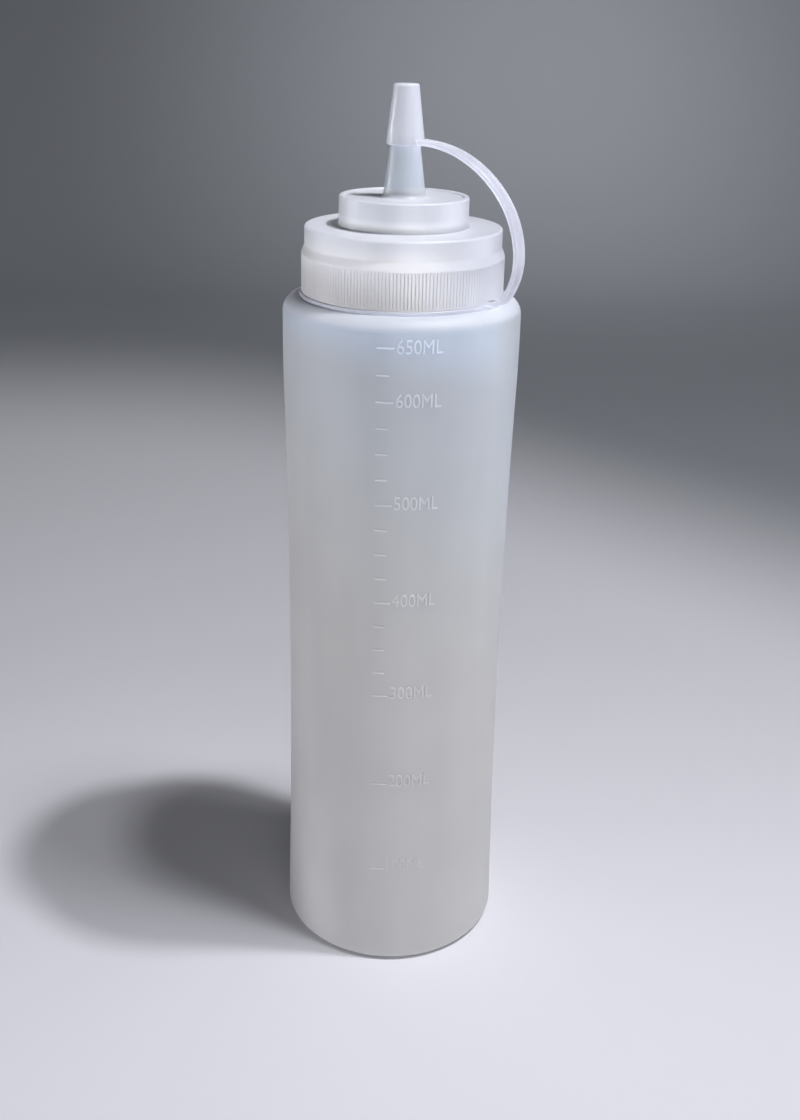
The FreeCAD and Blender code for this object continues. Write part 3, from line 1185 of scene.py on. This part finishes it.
@dataclass(frozen=True)
class TipCap:
    """A closed cone over the nozzle, its strap, and the ring round the neck."""

    top_z: float
    ring_z: float
    skirt_z: float
    cone: ScrewCap
    bottom_z: float = 250.7 * MM
    top_r: float = 3.52 * MM
    bottom_r: float = 5.52 * MM
    top_edge: float = 0.7 * MM
    fit: float = 0.05 * MM
    edge: float = 0.15 * MM
    ring_inner_r: float = 26.3 * MM
    ring_outer_r: float = 29.8 * MM
    ring_edge: float = 0.35 * MM
    lug_root_w: float = 8.4 * MM
    lug_end_w: float = 5.2 * MM
    lug_root_r: float = 28.6 * MM
    lug_end_r: float = 31.2 * MM
    azimuth: float = -33 * DEG
    strap: Strap = Strap()
    finish: MilkyPlastic = MILKY_TETHER

    @classmethod
    def from_frame(cls, cone: ScrewCap) -> "TipCap":
        """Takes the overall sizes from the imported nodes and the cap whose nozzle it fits."""
        low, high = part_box("tip_cap")
        return cls(top_z=high.z, ring_z=low.z, skirt_z=cone.skirt_z, cone=cone)

    def sleeve(self) -> Thing:
        """Builds the closed cone.

        Returns:
            The cone, hollow from below.
        """
        tip_z = self.cone.tip_z
        inner_low = self.cone.nozzle_r(self.bottom_z) + self.fit
        inner_high = self.cone.nozzle_r(tip_z) + self.fit
        outline = Outline((
            Corner(inner_low, self.bottom_z, self.edge),
            Corner(self.bottom_r, self.bottom_z, 2 * self.edge),
            Corner(self.top_r, self.top_z, self.top_edge),
            Corner(0, self.top_z),
            Corner(0, tip_z),
            Corner(inner_high, tip_z, self.edge),
        ))
        return Workshop.turned("milky_tip_cap", outline.points(), AROUND // 2)

    def ring(self) -> Thing:
        """Builds the washer round the neck."""
        outline = Outline((
            Corner(self.ring_inner_r, self.ring_z, self.edge),
            Corner(self.ring_outer_r, self.ring_z, self.ring_edge),
            Corner(self.ring_outer_r, self.skirt_z, self.ring_edge),
            Corner(self.ring_inner_r, self.skirt_z, self.edge),
        ))
        return Workshop.turned("tether_ring", outline.points())

    def lug(self) -> Thing:
        """Builds the tab that widens the ring where the strap leaves it.

        Returns:
            The closed tab, along +X.
        """
        inset = self.ring_edge
        heights = ((self.ring_z, inset), (self.ring_z + inset, 0), (self.skirt_z - inset, 0),
                   (self.skirt_z, inset))
        loops = []
        for z, pulled in heights:
            root = self.lug_root_w / 2 - pulled
            end = self.lug_end_w / 2 - pulled
            far = self.lug_end_r - pulled
            loops.append([Vector((self.lug_root_r, -root, z)), Vector((far, -end, z)),
                          Vector((far, end, z)), Vector((self.lug_root_r, root, z))])
        return Workshop.lofted("tether_lug", loops)

    def build(self) -> None:
        """Builds sleeve, strap, lug and ring in one closed mesh, turned to the strap's place.

        Its thin plastic passes so much light that it casts hardly any shadow.
        """
        sleeve = self.sleeve()
        Workshop.fused(sleeve, [self.strap.build("tether_strap"), self.lug(), self.ring()])
        sleeve.data.transform(Matrix.Rotation(self.azimuth, 4, "Z"))
        sleeve.visible_shadow = False
        Workshop.finished(sleeve, self.finish.material(), self.finish.name, "tip_cap")


# ---- stage, lamps and camera


@dataclass(frozen=True)
class Stage:
    """A pale paper floor that sweeps up to a wall, with painted light and shade.

    A painted pool of light lies near the bottle, painted shade on the far floor and the grey wall,
    and a painted glow on the wall.
    """

    front: float = -2.4
    bend_start: float = 0.95
    bend_radius: float = 0.35
    half_width: float = 2.6
    height: float = 2.2
    steps: int = 24
    # Painted light and shade: the near and middle colours paint a pool of light that fades away
    # from the bottle, the shade colour paints shade on the far floor and the wall, and the glow
    # colour paints a glow on the wall.
    near_colour: Colour = (0.91, 0.91, 0.95)
    middle_colour: Colour = (0.72, 0.72, 0.745)
    shade_colour: Colour = (0.283, 0.298, 0.314)
    glow_colour: Colour = (0.68, 0.705, 0.74)
    near_y: float = -0.14
    middle_y: float = 0.20
    shade_y: float = 0.625
    slant: float = 1.0
    slant_y: float = 0.52
    shade_width: float = 0.18
    glow_at: Place = (0.17, 1.22, 0.33)
    glow_reach: float = 0.66
    roughness: float = 0.8
    specular: float = 0.2
    fibre_scale: float = 900.0
    fibre_detail: float = 3.0
    fibre_strength: float = 0.1
    fibre_depth: float = 0.02 * MM

    def build(self) -> None:
        """Builds the sweep and dresses it in its paper."""
        profile = [(self.front, 0.0), (self.bend_start, 0.0)]
        for step in range(1, self.steps + 1):
            turn = math.pi / 2 * step / self.steps
            profile.append((self.bend_start + self.bend_radius * math.sin(turn),
                            self.bend_radius * (1 - math.cos(turn))))
        profile.append((self.bend_start + self.bend_radius, self.height))
        work = bmesh.new()
        rows = [[work.verts.new((side * self.half_width, y, z)) for side in (-1, 1)]
                for y, z in profile]
        for low, high in zip(rows, rows[1:]):
            work.faces.new((low[0], low[1], high[1], high[0]))
        sweep = Workshop.piece("studio_sweep", work)
        sweep.data.shade_smooth()
        sweep.data.materials.append(self.material())

    def material(self) -> Material:
        """Builds the matt paper, with painted light and shade.

        It is painted palest near the bottle, in soft painted shade behind a slanted line, with a
        painted glow on the wall.

        Returns:
            The material.
        """
        material, sheet = painted("paper_with_painted_light")
        place = sheet.place()
        x, y, _ = sheet.axes(place)
        # Mask of the painted shade on the far floor and the wall, behind a level and a slanted
        # line.
        level_line = y - self.shade_y
        slanted_line = y + x * self.slant - self.slant_y
        beyond = level_line.maths("SMOOTH_MAX", level_line, slanted_line, self.shade_width)
        shaded = beyond.ramp(-self.shade_width, self.shade_width)
        # A painted glow on the wall.
        reach = sheet.signal("ShaderNodeVectorMath", {0: place, 1: self.glow_at}, "Value",
                             operation="DISTANCE")
        glow = 1 - reach.ramp(0.0, self.glow_reach)
        # A painted pool of light, palest near the bottle.
        near = sheet.blend(y.ramp(self.near_y, self.middle_y), rgba(self.near_colour),
                           rgba(self.middle_colour))
        far = sheet.blend(glow, rgba(self.shade_colour), rgba(self.glow_colour))
        fibre = sheet.noise(place, self.fibre_scale, self.fibre_detail)
        shader = sheet.node("ShaderNodeBsdfPrincipled", {
            "Base Color": sheet.blend(shaded, near, far),
            "Roughness": self.roughness,
            "Specular IOR Level": self.specular,
            "Normal": sheet.bump(fibre, self.fibre_strength, self.fibre_depth),
        })
        sheet.node("ShaderNodeOutputMaterial", {"Surface": shader})
        return material


class LampShape(Enum):
    """The outline of a lamp's soft face."""

    ROUND = "DISK"
    STRIP = "RECTANGLE"


@dataclass(frozen=True)
class Lamp:
    """A soft lamp that faces a point on the bottle's axis."""

    name: str
    shape: LampShape
    azimuth: float
    distance: float
    z: float
    width: float
    power: float
    tall: float = 0.16
    aim_z: float = 0.13
    spread: float = math.pi
    colour: Colour = (0.94, 0.945, 1.0)

    def build(self) -> None:
        """Places the lamp and turns it to its point."""
        data = bpy.data.lights.new(self.name, "AREA")
        data.shape = self.shape.value
        data.size = self.width
        if self.shape is LampShape.STRIP:
            data.size_y = self.tall
        data.energy = self.power
        data.spread = self.spread
        data.color = self.colour
        lamp = linked(self.name, data)
        lamp.location = polar(self.distance, self.azimuth, self.z)
        away = lamp.location - Vector((0, 0, self.aim_z))
        lamp.rotation_euler = away.to_track_quat("Z", "Y").to_euler()


@dataclass(frozen=True)
class Studio:
    """Three steep lamps from the right, low strips that stand in for pale card, a dim surround."""

    lamps: tuple[Lamp, ...] = (
        Lamp("key", LampShape.ROUND, -12.8 * DEG, 0.2015, 0.712, 0.034, 1.91),
        Lamp("left_top", LampShape.ROUND, -29.6 * DEG, 0.887, 2.866, 0.294, 16.8),
        Lamp("right_top", LampShape.ROUND, -18.5 * DEG, 1.320, 2.694, 0.504, 15.7),
        Lamp("left_card", LampShape.STRIP, -152 * DEG, 0.78, 0.09, 0.6, 0.235,
             spread=WIDE),
        Lamp("front_card", LampShape.STRIP, -80 * DEG, 0.85, 0.09, 0.6, 0.59,
             spread=WIDE),
        Lamp("right_card", LampShape.STRIP, 5 * DEG, 0.80, 0.09, 0.6, 0.277,
             spread=WIDE),
        Lamp("left_rim", LampShape.STRIP, 170 * DEG, 0.90, 0.27, 0.3, 0.060,
             tall=0.12, aim_z=0.22, spread=NARROW),
    )
    surround: Colour = (0.009, 0.0085, 0.007)
    horizon: Colour = (0.16, 0.165, 0.18)

    def build(self) -> None:
        """Places the lamps and colours the world."""
        for lamp in self.lamps:
            lamp.build()
        world = bpy.data.worlds.new("surround")
        world.use_nodes = True
        sheet = NodeSheet(world.node_tree)
        path = sheet.node("ShaderNodeLightPath")
        camera, glossy, through = (Signal(sheet, path.outputs[f"Is {kind} Ray"])
                                   for kind in ("Camera", "Glossy", "Transmission"))
        seen = camera.either(glossy).either(through)
        tone = sheet.blend(seen, rgba(self.surround), rgba(self.horizon))
        light = sheet.node("ShaderNodeBackground", {"Color": tone})
        sheet.node("ShaderNodeOutputWorld", {"Surface": light})
        bpy.context.scene.world = world
        bpy.context.scene.view_settings.view_transform = "Standard"


@dataclass(frozen=True)
class Viewpoint:
    """The camera: a short tele lens that looks down a little on the bottle."""

    aim_z: float = 0.156825
    distance: float = 0.38714
    elevation: float = 19.331 * DEG
    roll: float = 0.02182
    lens: float = 40.977
    sensor: float = 36.0
    shift_x: float = 0.00136
    shift_y: float = -0.0884
    nearest: float = 0.01

    def build(self) -> None:
        """Places the camera and makes it the scene's."""
        data = bpy.data.cameras.new("camera")
        data.sensor_fit = "VERTICAL"
        data.sensor_height = self.sensor
        data.lens = self.lens
        data.shift_x = self.shift_x
        data.shift_y = self.shift_y
        data.clip_start = self.nearest
        ahead = Vector((0, math.cos(self.elevation), -math.sin(self.elevation)))
        right = Vector((1, 0, 0))
        up = right.cross(ahead)
        turn_c, turn_s = math.cos(self.roll), math.sin(self.roll)
        local_x = right * turn_c + up * turn_s
        local_y = up * turn_c - right * turn_s
        turned = Matrix((local_x, local_y, -ahead)).transposed().to_4x4()
        place = Vector((0, 0, self.aim_z)) - ahead * self.distance
        camera = linked("camera", data)
        camera.matrix_world = Matrix.Translation(place) @ turned
        bpy.context.scene.camera = camera


def main() -> None:
    """Builds the bottle, its caps and the studio."""
    logging.basicConfig(level=logging.INFO, format="%(name)s: %(message)s")
    Viewpoint().build()
    Studio().build()
    Stage().build()
    Bottle.from_frame().build()
    cap = ScrewCap.from_frame()
    cap.build()
    TipCap.from_frame(cap).build()


if __name__ == "__main__":
    main()
